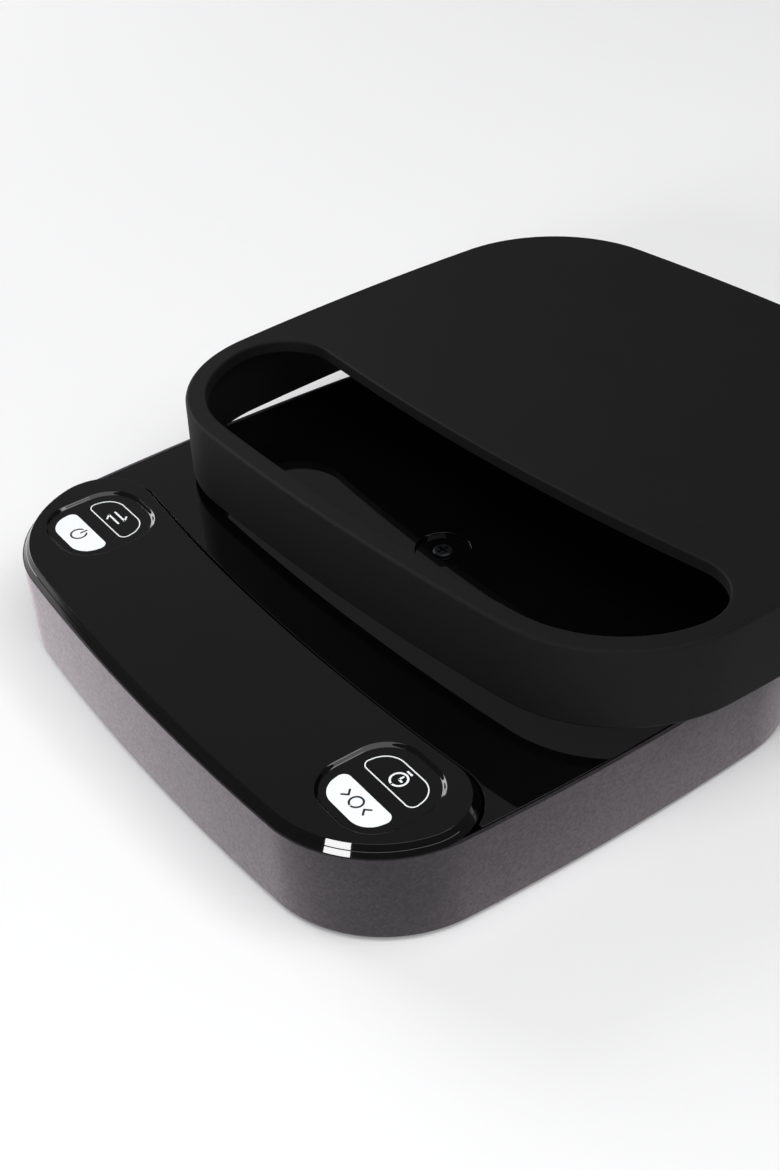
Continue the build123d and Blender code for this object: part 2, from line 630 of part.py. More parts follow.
def assembly():
    """Every piece by name, about the base's own centre."""
    pieces = {
        "outer_shell": make_outer_shell(),
        "bottom_housing": make_bottom_housing(),
        "control_panel": make_control_panel(),
        "weighing_platform": make_weighing_platform(),
        "platform_screw": make_platform_screw(),
        "platform_carrier": make_platform_carrier(),
        "cell_spacer": make_cell_spacer(),
        "load_cell": make_load_cell(),
        "cell_screws": make_cell_screws(),
        "carrier_screws": make_carrier_screws(),
        "overload_stops": make_overload_stops(),
        "housing_screws": make_housing_screws(),
        "main_board": make_main_board(),
        "board_screws": make_board_screws(),
        "display_module": make_display_module(),
        "buzzer": make_buzzer(),
        "battery_front": make_battery(0),
        "battery_rear": make_battery(1),
        "contact_left": make_contact(-1),
        "contact_right": make_contact(1),
        "battery_door": make_battery_door(),
        "cell_wire": make_cell_wire(),
        "battery_wire": make_battery_wire(),
        "cover": make_cover(),
    }
    for name, (side, row) in KEYS.items():
        pieces[f"touch_pad_{name}"] = make_touch_pad(side, row)
    for (x, y), name in zip(FEET, ("front_left", "front_right", "rear_left", "rear_right")):
        pieces[f"foot_{name}"] = make_foot(x, y)
    return pieces


def main():
    """Centre the assembly's box over the origin and write one file for each piece."""
    groups = {}
    for name, piece in assembly().items():
        group = piece if isinstance(piece, list) else [piece]
        groups[name] = [solid for member in group for solid in member.solids()]
    box = Compound([solid for group in groups.values() for solid in group]).bounding_box()
    shift = Pos(-(box.min.X + box.max.X) / 2, -(box.min.Y + box.max.Y) / 2, -box.min.Z)
    os.makedirs("parts", exist_ok=True)
    for name, group in groups.items():
        solids = [shift * solid for solid in group]
        export_step(solids[0] if len(solids) == 1 else Compound(children=solids), f"parts/{name}.step")
    print("base centre at", [round(v, 3) for v in shift.position])
    hinge = shift.position + Vector(BAY_X, BAY_REAR - DOOR_GAP, FOOT_PROUD)
    print("battery door hinge at", [round(v, 3) for v in hinge])


main()
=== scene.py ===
"""Looks of a compact kitchen scale whose cap lies tilted on its deck.

Shapes are worked out in millimetres and put into the meshes in metres.
"""
from math import atan2, ceil, cos, pi, radians, sin, sqrt, tan, tau

import bmesh
import bpy
import numpy as np
from mathutils import Matrix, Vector
from mathutils.geometry import tessellate_polygon


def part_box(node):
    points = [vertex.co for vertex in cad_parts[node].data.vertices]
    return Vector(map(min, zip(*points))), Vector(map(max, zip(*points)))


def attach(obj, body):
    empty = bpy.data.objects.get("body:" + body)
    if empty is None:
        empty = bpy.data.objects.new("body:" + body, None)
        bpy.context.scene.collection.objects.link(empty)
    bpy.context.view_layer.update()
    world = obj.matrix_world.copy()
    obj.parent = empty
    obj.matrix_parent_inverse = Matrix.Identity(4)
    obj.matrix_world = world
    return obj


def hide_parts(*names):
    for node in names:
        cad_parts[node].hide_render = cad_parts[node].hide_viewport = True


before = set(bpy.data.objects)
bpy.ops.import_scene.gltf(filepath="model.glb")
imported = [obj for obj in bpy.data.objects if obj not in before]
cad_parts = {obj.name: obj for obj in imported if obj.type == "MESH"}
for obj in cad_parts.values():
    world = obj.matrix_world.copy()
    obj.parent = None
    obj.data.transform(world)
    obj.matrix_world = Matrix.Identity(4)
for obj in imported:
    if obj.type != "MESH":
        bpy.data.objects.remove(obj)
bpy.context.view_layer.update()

MM = 0.001


def node_box(name):
    """Lowest and highest corner of a node at rest, in millimetres."""
    low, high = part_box(name)
    return np.array(low) / MM, np.array(high) / MM


# Places and levels read from the frame
SHELL_LOW, SHELL_HIGH = node_box("outer_shell")
CENTRE = (SHELL_LOW[:2] + SHELL_HIGH[:2]) / 2
WIDTH, DEPTH = SHELL_HIGH[:2] - SHELL_LOW[:2]
SHELL_FOOT = SHELL_LOW[2]
DECK_TOP = SHELL_HIGH[2]
PANEL_TOP = node_box("control_panel")[1][2]

# Outline of the base: bowed sides joined by round corners
BOW = 615.0
CORNER = 28.0

# Shell wall
SHELL_WALL = 2.2
LIP = 0.8
LIP_HEIGHT = 3.2
SHELL_TOP_ROUND = 0.08
SHELL_FOOT_ROUND = 0.6

# Control panel and its key wells
PANEL_INSET = 0.3
PANEL_DEPTH = 35.8
PANEL_CORNER = 13.0
PANEL_TIER = 1.2
PANEL_LEAN = 1.5
PANEL_FOOT = 0.12
PANEL_SEAM = 0.18
PANEL_EDGE = 0.1
PANEL_HOLD = 0.2
PANEL_SKIN = 2.0
SKIRT_IN = 0.65
SKIRT_WALL = 1.6
SKIRT_DROP = 2.8
WELL_END = 20.2
WELL_Y = 22.7
WELL_WIDTH = 22.0
WELL_LENGTH = 22.9
WELL_CORNER = 8.5
WELL_DEPTH = 0.7
WELL_RUN = 1.0
WELL_LEAD = 0.15

# Floating deck
DECK_GAP = 0.35
DECK_TIP = 0.6
DECK_EDGE = 0.06
DECK_SKIN = 1.8
RECESS_R = 6.2
RECESS_DEPTH = 0.8
SEAT_R = 2.42
SEAT_DEPTH = 1.5
SCREW_HOLE_R = 1.25
HUB_R = 8.0
POST_R = 3.0
POST_X = 33.0
POST_REACH = 29.0

# Keys printed on the floors of the wells
KEY_HALF = 8.35
KEY_TIP_HALF = 7.1
KEY_DEPTH = 6.8
KEY_SPLIT = 3.4
KEY_SHIFT = -0.6
KEY_NEAR_ROUND = 1.7
KEY_FAR_ROUND = 4.8
KEY_LINE = 0.25
INK = 0.06
MARK_INK = 0.03
MARK_LINE = 0.44
MARK_R = 1.75
MARK_SHIFT = 0.25
# A ring is a stroke that stops a hair short of its start
RING_HALF = 0.999 * pi

# Cap
CAP_BORE = 3.0
CAP_WALL = 2.55
CAP_HEIGHT = 18.54
CAP_TOP = 2.8
CAP_ROUND = 0.8
CAP_FOOT_ROUND = 0.8
CAP_INNER_ROUND = 0.4
WINDOW_GROW = 0.7
WINDOW_DEPTH = 36.5
WINDOW_ROUND = 0.5
CAP_PITCH = radians(-2.2)
CAP_LEAN = radians(-1.5)
CAP_TURN = radians(4.0)

# Fineness of the meshes
SPACING = 1.5
ARC_STEP = radians(2.5)
FLAT_RIM = 0.3
ROUND_STEPS = 10
EASE_STEPS = 3
SHARP = radians(35)
SAME_SPOT = 1e-6
WELD = 1e-4
# Angle on the front corners at which a whole outline is split into front and rear
SPLIT_TURN = -0.2


def angle(vector):
    """Direction of a flat vector."""
    return atan2(vector[1], vector[0])


def mirrored(point):
    """The same place on the other side of the middle plane."""
    return np.array([-point[0], point[1]])


def meet(first, first_r, second, second_r):
    """Crossing of two circles that lies to the left of the line from the first centre to the second."""
    between = np.subtract(second, first)
    gap = np.hypot(*between)
    along = (gap ** 2 + first_r ** 2 - second_r ** 2) / (2 * gap)
    aside = sqrt(first_r ** 2 - along ** 2)
    ahead = between / gap
    return first + along * ahead + aside * np.array([-ahead[1], ahead[0]])


FRONT_CENTRE = np.array([0.0, BOW - DEPTH / 2])
SIDE_CENTRE = np.array([WIDTH / 2 - BOW, 0.0])
CORNER_CENTRE = meet(FRONT_CENTRE, BOW - CORNER, SIDE_CENTRE, BOW - CORNER)
TO_FRONT = angle(CORNER_CENTRE - FRONT_CENTRE)
TO_SIDE = angle(CORNER_CENTRE - SIDE_CENTRE)


def arc(centre, radius, start, stop):
    """Points centre + |radius| (cos t, sin t) with their outward normals.

    A negative radius turns the normals inwards.
    """
    turn = abs(stop - start)
    steps = max(abs(radius) * turn / SPACING, turn / ARC_STEP)
    t = np.linspace(start, stop, ceil(steps) + 1)
    away = np.stack([np.cos(t), np.sin(t)], 1)
    return np.asarray(centre) + abs(radius) * away, np.sign(radius) * away


def join(*stretches):
    """Closed path of points and normals from stretches that follow one another, without repeated points."""
    points = np.concatenate([stretch[0] for stretch in stretches])
    normals = np.concatenate([stretch[1] for stretch in stretches])
    new = np.linalg.norm(points - np.roll(points, -1, 0), axis=1) > SAME_SPOT
    return points[new], normals[new]


def join_open(*stretches):
    """Open path from stretches that follow one another."""
    return tuple(np.concatenate(parts) for parts in zip(*stretches))


def back_corner(grow, depth):
    """Centre of the band's right back corner: one corner radius inside both the outline and the back edge."""
    return meet(FRONT_CENTRE, BOW - depth + PANEL_CORNER, CORNER_CENTRE, CORNER + grow - PANEL_CORNER)


def front_stretch(grow, turn):
    """Left corner, front bow and right corner of the grown outline, up to where a band leaves it."""
    corner = CORNER + grow
    return join_open(arc(mirrored(CORNER_CENTRE), corner, pi - turn, pi - TO_FRONT),
                     arc(FRONT_CENTRE, BOW + grow, -pi - TO_FRONT, TO_FRONT),
                     arc(CORNER_CENTRE, corner, TO_FRONT, turn))


def rear_bend(grow, start):
    """Right side from an angle on its bow, then both back corners and the left side, of the grown outline."""
    corner = CORNER + grow
    bow = BOW + grow
    return join_open(arc(SIDE_CENTRE, bow, start, -TO_SIDE),
                     arc(-mirrored(CORNER_CENTRE), corner, -TO_SIDE, -TO_FRONT),
                     arc(-FRONT_CENTRE, bow, -TO_FRONT, pi + TO_FRONT),
                     arc(-CORNER_CENTRE, corner, pi + TO_FRONT, pi + TO_SIDE),
                     arc(-SIDE_CENTRE, bow, pi + TO_SIDE, pi - start))


def rear_stretch(grow, turn):
    """The rest of the grown outline, round the back from the right corner to the left one."""
    corner = CORNER + grow
    return join_open(arc(CORNER_CENTRE, corner, turn, TO_SIDE), rear_bend(grow, TO_SIDE),
                     arc(mirrored(CORNER_CENTRE), corner, pi - TO_SIDE, pi - turn))


def back_stretch(depth, back):
    """Rounded back corners of a band and the hollow arc between them, parallel to the front bow."""
    turn = angle(back - CORNER_CENTRE)
    end = angle(FRONT_CENTRE - back)
    reach = angle(back - FRONT_CENTRE)
    return join_open(arc(back, PANEL_CORNER, turn, end),
                     arc(FRONT_CENTRE, depth - BOW, reach, -pi - reach),
                     arc(mirrored(back), PANEL_CORNER, pi - end, pi - turn))


def outline(grow, turn=SPLIT_TURN):
    """Base outline grown outwards: four bows and four corner arcs that meet tangentially."""
    return join(front_stretch(grow, turn), rear_stretch(grow, turn))


def band(grow, depth):
    """Band of constant depth along the front bow of the grown outline, with rounded back corners."""
    back = back_corner(grow, depth)
    return join(front_stretch(grow, angle(back - CORNER_CENTRE)), back_stretch(depth, back))


def deck_path():
    """Outline of the deck: sides and back inside the shell's lip, then round the band with rounded tips."""
    grow = -LIP - DECK_GAP
    depth = PANEL_DEPTH + DECK_GAP
    back = back_corner(DECK_GAP - PANEL_INSET, depth)
    tip = meet(SIDE_CENTRE, BOW + grow - DECK_TIP, back, PANEL_CORNER + DECK_TIP)
    start = angle(tip - SIDE_CENTRE)
    inward, away = angle(back - tip), angle(tip - back)
    end = angle(FRONT_CENTRE - back)
    reach = angle(back - FRONT_CENTRE)
    return join(rear_bend(grow, start), arc(mirrored(tip), DECK_TIP, pi - start, pi - inward),
                arc(mirrored(back), -PANEL_CORNER, pi - away, pi - end),
                arc(FRONT_CENTRE, BOW - depth, -pi - reach, reach),
                arc(back, -PANEL_CORNER, end, away), arc(tip, DECK_TIP, inward, start))


def rounded(corners):
    """Closed path round a polygon of (x, y, radius), each corner an arc tangent to its two sides."""
    spots = np.array([corner[:2] for corner in corners])
    stretches = []
    for spot, before, after, corner in zip(spots, np.roll(spots, 1, 0), np.roll(spots, -1, 0), corners):
        into = (spot - before) / np.linalg.norm(spot - before)
        out = (after - spot) / np.linalg.norm(after - spot)
        half = (angle(out) - angle(into)) % tau / 2
        inward = (out - into) / np.linalg.norm(out - into)
        centre = spot + inward * corner[2] / cos(half)
        start = angle(into) - pi / 2
        stretches.append(arc(centre, corner[2], start, start + 2 * half))
    return join(*stretches)


def profile(corners, steps=ROUND_STEPS):
    """Offsets and heights along a section line of (offset, height, radius), rounded by its radii."""
    spots = np.array([corner[:2] for corner in corners], float)
    runs = [spots[:1]]
    for before, spot, after, corner in zip(spots, spots[1:], spots[2:], corners[1:]):
        into = (spot - before) / np.linalg.norm(spot - before)
        out = (after - spot) / np.linalg.norm(after - spot)
        radius = corner[2]
        cosine = np.clip(into @ out, -1, 1)
        turn = np.arccos(cosine)
        aside = out - cosine * into
        aside /= max(np.linalg.norm(aside), SAME_SPOT)
        t = turn * np.linspace(0, 1, steps + 1 if radius else 1)[:, None]
        start = spot - radius * tan(turn / 2) * into
        runs.append(start + radius * (np.sin(t) * into + (1 - np.cos(t)) * aside))
    runs.append(spots[-1:])
    return np.concatenate(runs)


def sweep(path, section, closed=False):
    """Surface path + offset·normal at a height: the section line carried round a closed path."""
    points, normals = path
    flat = points[None] + section[:, :1, None] * normals[None]
    high = np.broadcast_to(section[:, 1:, None], flat.shape[:2] + (1,))
    grid = np.concatenate([flat, high], 2)
    rows, columns = grid.shape[:2]
    index = np.arange(rows * columns).reshape(rows, columns)
    low = index if closed else index[:-1]
    up = np.roll(index, -1, 0) if closed else index[1:]
    quads = np.stack([low, np.roll(low, -1, 1), np.roll(up, -1, 1), up], 2).reshape(-1, 4)
    return grid.reshape(-1, 3), quads


def ring(path, offset):
    """Points of a path moved along its normals."""
    return path[0] + offset * path[1]


def fill(height, loops, up=True):
    """Level face at a height between an outer loop and the loops of its holes, as triangles."""
    points = [np.c_[loop, np.full(len(loop), height)] for loop in loops]
    triangles = np.array(tessellate_polygon([loop.tolist() for loop in points]))
    points = np.concatenate(points)
    one, two, three = (points[triangles[:, k], :2] for k in range(3))
    area = np.cross(two - one, three - one)
    wrong = (area > 0) != up
    triangles[wrong] = triangles[wrong][:, ::-1]
    return points, triangles


def build(name, patches, turn=None, place=None):
    """One smooth mesh object from patches whose shared rims are joined.

    Patches lie about the base's centre, or are turned and have the middle of their box put in a place.
    """
    points, faces, start = [], [], 0
    for patch_points, patch_faces in patches:
        points.append(patch_points)
        faces += (patch_faces + start).tolist()
        start += len(patch_points)
    points = np.concatenate(points)
    if turn is None:
        points = points + [CENTRE[0], CENTRE[1], 0]
    else:
        points = points @ turn.T
        points = points + place - (points.min(0) + points.max(0)) / 2
    mesh = bpy.data.meshes.new(name)
    mesh.from_pydata(points * MM, [], faces)
    joined = bmesh.new()
    joined.from_mesh(mesh)
    bmesh.ops.remove_doubles(joined, verts=joined.verts, dist=MM * WELD)
    joined.to_mesh(mesh)
    joined.free()
    mesh.shade_smooth()
    mesh.set_sharp_from_angle(angle=SHARP)
    piece = bpy.data.objects.new(name, mesh)
    bpy.context.collection.objects.link(piece)
    return piece


def finish_piece(piece, body, slot, material, *nodes):
    """Give a piece its finish and its body, and let it stand for the nodes that it replaces."""
    piece.data.materials.append(material)
    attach(piece, body)
    if nodes:
        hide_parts(*nodes)


# Colours and materials

def linear(code):
    """Linear colour of an sRGB hex value."""
    channels = np.array([int(code[k:k + 2], 16) for k in (1, 3, 5)]) / 255
    low = channels / 12.92
    high = ((channels + 0.055) / 1.055) ** 2.4
    return (*np.where(channels <= 0.04045, low, high).tolist(), 1.0)


def per_metre(size_mm):
    """Texture scale at which one cell of a pattern is as wide as a real size."""
    return 1 / (size_mm * MM)


def add(tree, kind, inputs=None, **settings):
    """Add a node with its settings; each input is a value or the socket that feeds it."""
    node = tree.nodes.new(kind)
    for key, value in settings.items():
        setattr(node, key, value)
    for key, value in (inputs or {}).items():
        if isinstance(value, bpy.types.NodeSocket):
            tree.links.new(value, node.inputs[key])
        else:
            node.inputs[key].default_value = value
    return node


def start_material(name):
    """Empty material with its tree, its output and the piece's own coordinates."""
    material = bpy.data.materials.new(name)
    material.use_nodes = True
    tree = material.node_tree
    tree.nodes.clear()
    output = tree.nodes.new("ShaderNodeOutputMaterial")
    place = tree.nodes.new("ShaderNodeTexCoord").outputs["Object"]
    return material, tree, output, place


def shade(tree, output, **sockets):
    """Principled shader with its sockets set, fed to the output."""
    inputs = {key.replace("_", " "): value for key, value in sockets.items()}
    shader = add(tree, "ShaderNodeBsdfPrincipled", inputs)
    tree.links.new(shader.outputs[0], output.inputs["Surface"])


def blend_colours(tree, factor, first, second):
    """Colour that runs from one hex value to another with a factor."""
    ramp = add(tree, "ShaderNodeValToRGB", {"Fac": factor})
    ramp.color_ramp.elements[0].color = linear(first)
    ramp.color_ramp.elements[1].color = linear(second)
    return ramp.outputs["Color"]


def relief(tree, height, strength, depth_mm):
    """Normals of a fine relief whose full depth is a real size."""
    bump = add(tree, "ShaderNodeBump", {"Height": height, "Strength": strength, "Distance": depth_mm * MM})
    return bump.outputs["Normal"]


def satin_metallic_paint():
    """Gunmetal paint sprayed on moulded ABS: fine flakes that sparkle under a satin clear coat."""
    material, tree, output, place = start_material("satin_metallic_paint")
    flakes = add(tree, "ShaderNodeTexVoronoi", {"Vector": place, "Scale": per_metre(0.5)})
    cloud = add(tree, "ShaderNodeTexNoise", {"Vector": place, "Scale": per_metre(9), "Detail": 2.0})
    both = {0: flakes.outputs["Color"], 1: cloud.outputs["Fac"]}
    mix = add(tree, "ShaderNodeMath", both, operation="MULTIPLY")
    colour = blend_colours(tree, mix.outputs[0], "#131114", "#2b272c")
    haze = blend_colours(tree, flakes.outputs["Color"], "#c4b8c0", "#fff2fa")
    rough = add(tree, "ShaderNodeMapRange", {"Value": cloud.outputs["Fac"], "To Min": 0.30, "To Max": 0.38})
    bump = relief(tree, flakes.outputs["Distance"], 0.06, 0.05)
    shade(tree, output, Base_Color=colour, Metallic=0.15, Roughness=rough.outputs[0], IOR=1.35,
          Sheen_Weight=1.0, Sheen_Roughness=0.4, Sheen_Tint=haze, Normal=bump)
    return material


def gloss_black():
    """Piano-black polished ABS: a near black body under a mirror-smooth skin with the faintest haze."""
    material, tree, output, place = start_material("gloss_black_abs")
    haze = add(tree, "ShaderNodeTexNoise", {"Vector": place, "Scale": per_metre(14), "Detail": 3.0})
    colour = blend_colours(tree, haze.outputs["Fac"], "#040405", "#070708")
    rough = add(tree, "ShaderNodeMapRange", {"Value": haze.outputs["Fac"], "To Min": 0.02, "To Max": 0.05})
    shade(tree, output, Base_Color=colour, Roughness=rough.outputs[0], IOR=1.5)
    return material


def soft_black_rubber():
    """Moulded silicone rubber: matte black with a fine spark-eroded grain that lifts its edges a little."""
    material, tree, output, place = start_material("matte_silicone_rubber")
    grain = add(tree, "ShaderNodeTexNoise", {"Vector": place, "Scale": per_metre(0.5), "Detail": 3.0})
    cloud = add(tree, "ShaderNodeTexNoise", {"Vector": place, "Scale": per_metre(22), "Detail": 2.0})
    colour = blend_colours(tree, cloud.outputs["Fac"], "#0a0a0b", "#0e0e0f")
    rough = add(tree, "ShaderNodeMapRange", {"Value": grain.outputs["Fac"], "To Min": 0.62, "To Max": 0.78})
    bump = relief(tree, grain.outputs["Fac"], 0.25, 0.06)
    shade(tree, output, Base_Color=colour, Roughness=rough.outputs[0], IOR=1.42, Specular_IOR_Level=0.22,
          Normal=bump)
    return material


def key_ink(name, code_low, code_high):
    """Screen-printed ink under a thin gloss varnish, a little uneven as it was squeezed through the mesh."""
    material, tree, output, place = start_material(name)
    mesh = add(tree, "ShaderNodeTexNoise", {"Vector": place, "Scale": per_metre(0.6), "Detail": 2.0})
    colour = blend_colours(tree, mesh.outputs["Fac"], code_low, code_high)
    shade(tree, output, Base_Color=colour, Roughness=0.28, IOR=1.5)
    return material


def moulded_black():
    """Moulded ABS with a fine spark texture, on the floor of the base and its door."""
    material, tree, output, place = start_material("moulded_abs")
    grain = add(tree, "ShaderNodeTexNoise", {"Vector": place, "Scale": per_metre(0.6), "Detail": 3.0})
    colour = blend_colours(tree, grain.outputs["Fac"], "#161617", "#1e1e1f")
    bump = relief(tree, grain.outputs["Fac"], 0.3, 0.05)
    shade(tree, output, Base_Color=colour, Roughness=0.5, IOR=1.5, Normal=bump)
    return material


def plain_material(name, low, high, size_mm, roughness, metallic=0.0):
    """Surface whose colour drifts between two shades over a grain of a given size, with a fine relief."""
    material, tree, output, place = start_material(name)
    grain = add(tree, "ShaderNodeTexNoise", {"Vector": place, "Scale": per_metre(size_mm), "Detail": 3.0})
    colour = blend_colours(tree, grain.outputs["Fac"], low, high)
    bump = relief(tree, grain.outputs["Fac"], 0.2, 0.04)
    shade(tree, output, Base_Color=colour, Roughness=roughness, Metallic=metallic, Normal=bump)
    return material


SHELL_PAINT = satin_metallic_paint()
GLOSS_BLACK = gloss_black()
CAP_RUBBER = soft_black_rubber()
WHITE_INK = key_ink("white_screen_ink", "#f4f8fa", "#fbfdfe")
DARK_INK = key_ink("dark_screen_ink", "#1e2226", "#282c30")
SLOT_MATERIALS = {
    "shell_paint": SHELL_PAINT,
    "gloss_black": GLOSS_BLACK,
    "cover_black": CAP_RUBBER,
    "housing_black": moulded_black(),
    "foot_rubber": plain_material("foot_rubber", "#1d1d1d", "#272727", 0.8, 0.8),
    "steel": plain_material("black_zinc_steel", "#16171a", "#22242a", 0.7, 0.38, 0.7),
    "cell_aluminium": plain_material("milled_aluminium", "#b9babd", "#cfd0d3", 0.5, 0.32, 1.0),
    "board_green": plain_material("solder_mask", "#0d4a26", "#135a30", 2.0, 0.4),
    "display_dark": plain_material("smoked_acrylic", "#0a0a0b", "#111113", 3.0, 0.15),
    "foam": plain_material("conductive_foam", "#2b2b2c", "#3a3a3b", 0.4, 0.9),
    "battery_wrap": plain_material("printed_sleeve", "#8d9095", "#9ea1a6", 5.0, 0.3),
    "wire_sheath": plain_material("wire_sheath", "#5a5a5c", "#66666a", 1.0, 0.5),
}


def make_shell():
    """Side wall: a closed section with a thin top lip and a rebate, carried round the base outline."""
    rebate = DECK_TOP - LIP_HEIGHT
    section = profile([
        (-SHELL_WALL, SHELL_FOOT, 0), (0, SHELL_FOOT, SHELL_FOOT_ROUND), (0, DECK_TOP, SHELL_TOP_ROUND),
        (-LIP, DECK_TOP, 0), (-LIP, rebate, 0), (-SHELL_WALL, rebate, 0)])
    shell = build("shell_wall", [sweep(outline(0), section, closed=True)])
    finish_piece(shell, "base", "shell_paint", SHELL_PAINT, "outer_shell")


def well_path(x):
    """Rounded square of a key well about its own middle."""
    half_x, half_y = WELL_WIDTH / 2, WELL_LENGTH / 2
    y = WELL_Y - DEPTH / 2
    signs = ((-1, -1), (1, -1), (1, 1), (-1, 1))
    return rounded([(x + sx * half_x, y + sy * half_y, WELL_CORNER) for sx, sy in signs])


def make_panel():
    """Raised panel: a leaning edge with a seam and a skirt carried round the front band, and two wells.

    The edge leans in by PANEL_LEAN from its foot to the top.
    The sides of a well fall by WELL_DEPTH (3 s² - 2 s³) over the share s of their run.
    """
    path = band(-PANEL_INSET, PANEL_DEPTH)
    ceiling = PANEL_TOP - PANEL_SKIN
    hollow = -SKIRT_IN - SKIRT_WALL
    skirt_foot = DECK_TOP - SKIRT_DROP
    foot = DECK_TOP + PANEL_FOOT
    seam = DECK_TOP + PANEL_TIER
    half = PANEL_SEAM / 2
    slant = PANEL_LEAN / (PANEL_TOP - foot)

    def edge(height):
        """Corner of the section on the leaning edge at a height."""
        return -slant * (height - foot), height, 0

    flat = -PANEL_LEAN - PANEL_EDGE - FLAT_RIM
    section = profile([
        (hollow, ceiling, 0), (hollow, skirt_foot, 0), (-SKIRT_IN, skirt_foot, 0), (-SKIRT_IN, DECK_TOP, 0),
        (0, DECK_TOP, 0), (0, foot, PANEL_FOOT), edge(foot + PANEL_HOLD), edge(seam - half),
        (edge(seam)[0] - PANEL_SEAM, seam, 0), edge(seam + half), edge(PANEL_TOP - PANEL_HOLD),
        (-PANEL_LEAN, PANEL_TOP, PANEL_EDGE), (flat, PANEL_TOP, 0)])
    patches = [sweep(path, section), fill(ceiling, [ring(path, hollow)], up=False)]
    holes = []
    share = np.linspace(0, 1, 2 * ROUND_STEPS + 1)
    drop = share * share * (3 - 2 * share)
    slope = np.stack([WELL_LEAD - WELL_RUN * share, PANEL_TOP - WELL_DEPTH * drop], 1)
    rim = [[WELL_LEAD + FLAT_RIM, PANEL_TOP]]
    floor = [[WELL_LEAD - WELL_RUN - FLAT_RIM, PANEL_TOP - WELL_DEPTH]]
    section = np.concatenate([rim, slope, floor])
    for side in (-1, 1):
        well = well_path(side * (WIDTH / 2 - WELL_END))
        patches.append(sweep(well, section))
        patches.append(fill(PANEL_TOP - WELL_DEPTH, [ring(well, section[-1, 0])]))
        holes.append(ring(well, section[0, 0]))
    patches.append(fill(PANEL_TOP, [ring(path, flat), *holes]))
    panel = build("touch_panel", patches)
    finish_piece(panel, "base", "gloss_black", GLOSS_BLACK, "control_panel")


def rod(spot, radius, low, high):
    """Upright closed cylinder: spot + radius (cos t, sin t) between two heights."""
    path = join(arc(spot, radius, 0, tau))
    section = np.array([(0, low), (0, high)])
    return [sweep(path, section), fill(high, [path[0]]), fill(low, [path[0]], up=False)]


def make_deck():
    """Floating deck: a plate with a crisp edge and a stepped screw recess, on a hub and four posts."""
    path = deck_path()
    under = DECK_TOP - DECK_SKIN
    flat = -DECK_EDGE - FLAT_RIM
    section = profile([(flat, under, 0), (0, under, 0), (0, DECK_TOP, DECK_EDGE), (flat, DECK_TOP, 0)])
    low, high = node_box("platform_screw")
    middle = (low + high)[:2] / 2 - CENTRE
    recess = join(arc(middle, RECESS_R, 0, tau))
    seat, hole = SEAT_R - RECESS_R, SCREW_HOLE_R - RECESS_R
    ledge, bottom = DECK_TOP - RECESS_DEPTH, DECK_TOP - SEAT_DEPTH
    steps = profile([(FLAT_RIM, DECK_TOP, 0), (0, DECK_TOP, DECK_EDGE), (0, ledge, 0), (seat, ledge, 0),
                     (seat, bottom, 0), (hole, bottom, 0), (hole, under, 0)])
    patches = [sweep(path, section), sweep(recess, steps),
               fill(DECK_TOP, [ring(path, flat), ring(recess, FLAT_RIM)]),
               fill(under, [ring(path, flat), ring(recess, hole)], up=False)]
    carrier = node_box("platform_carrier")[1][2]
    patches += rod(middle, HUB_R, carrier, under)
    low, high = node_box("load_cell")
    beam = (low + high)[:2] / 2 - CENTRE
    for x in (-POST_X, POST_X):
        for y in (-POST_REACH, POST_REACH):
            patches += rod(beam + (x, y), POST_R, carrier, under)
    deck = build("deck", patches)
    finish_piece(deck, "platform", "gloss_black", GLOSS_BLACK, "weighing_platform")


def plate(path, low, high):
    """Thin closed plate inside a path, with its top edge eased."""
    ease = (high - low) / 2
    section = profile([(0, low, 0), (0, high, ease), (-2 * ease, high, 0)], EASE_STEPS)
    return [sweep(path, section), fill(high, [ring(path, -2 * ease)]), fill(low, [ring(path, 0)], up=False)]


def line_loop(path, low, high):
    """Thin closed line of ink that follows a path on its inner side."""
    section = np.array([(0, low), (0, high), (-KEY_LINE, high), (-KEY_LINE, low)])
    return [sweep(path, section, closed=True)]


def key_path(x, y, way):
    """Outline of a key: one straight side towards the well's middle and a rounded far side."""
    near = y + way * KEY_SPLIT / 2
    far = near + way * KEY_DEPTH
    corners = [(x - KEY_HALF, near, KEY_NEAR_ROUND), (x + KEY_HALF, near, KEY_NEAR_ROUND),
               (x + KEY_TIP_HALF, far, KEY_FAR_ROUND), (x - KEY_TIP_HALF, far, KEY_FAR_ROUND)]
    return rounded(corners if way > 0 else corners[::-1])


def stroke_arc(centre, radius, start, stop):
    """Closed path round a curved stroke with round ends."""
    half = MARK_LINE / 2
    first = np.add(centre, (radius * cos(start), radius * sin(start)))
    last = np.add(centre, (radius * cos(stop), radius * sin(stop)))
    return join(arc(centre, radius + half, start, stop), arc(last, half, stop, stop + pi),
                arc(centre, half - radius, stop, start), arc(first, half, start + pi, start + tau))


def stroke_line(start, stop):
    """Closed path round a straight stroke with round ends."""
    way = angle(np.subtract(stop, start))
    half = MARK_LINE / 2
    return join(arc(stop, half, way - pi / 2, way + pi / 2), arc(start, half, way + pi / 2, way + 3 * pi / 2))


def power_mark(x, y):
    """Standby sign: an open ring with an upright bar in its gap."""
    gap = radians(32)
    foot, head = y + 0.3 * MARK_R, y + 1.15 * MARK_R
    return [stroke_arc((x, y), MARK_R, pi / 2 + gap, pi / 2 + tau - gap), stroke_line((x, foot), (x, head))]


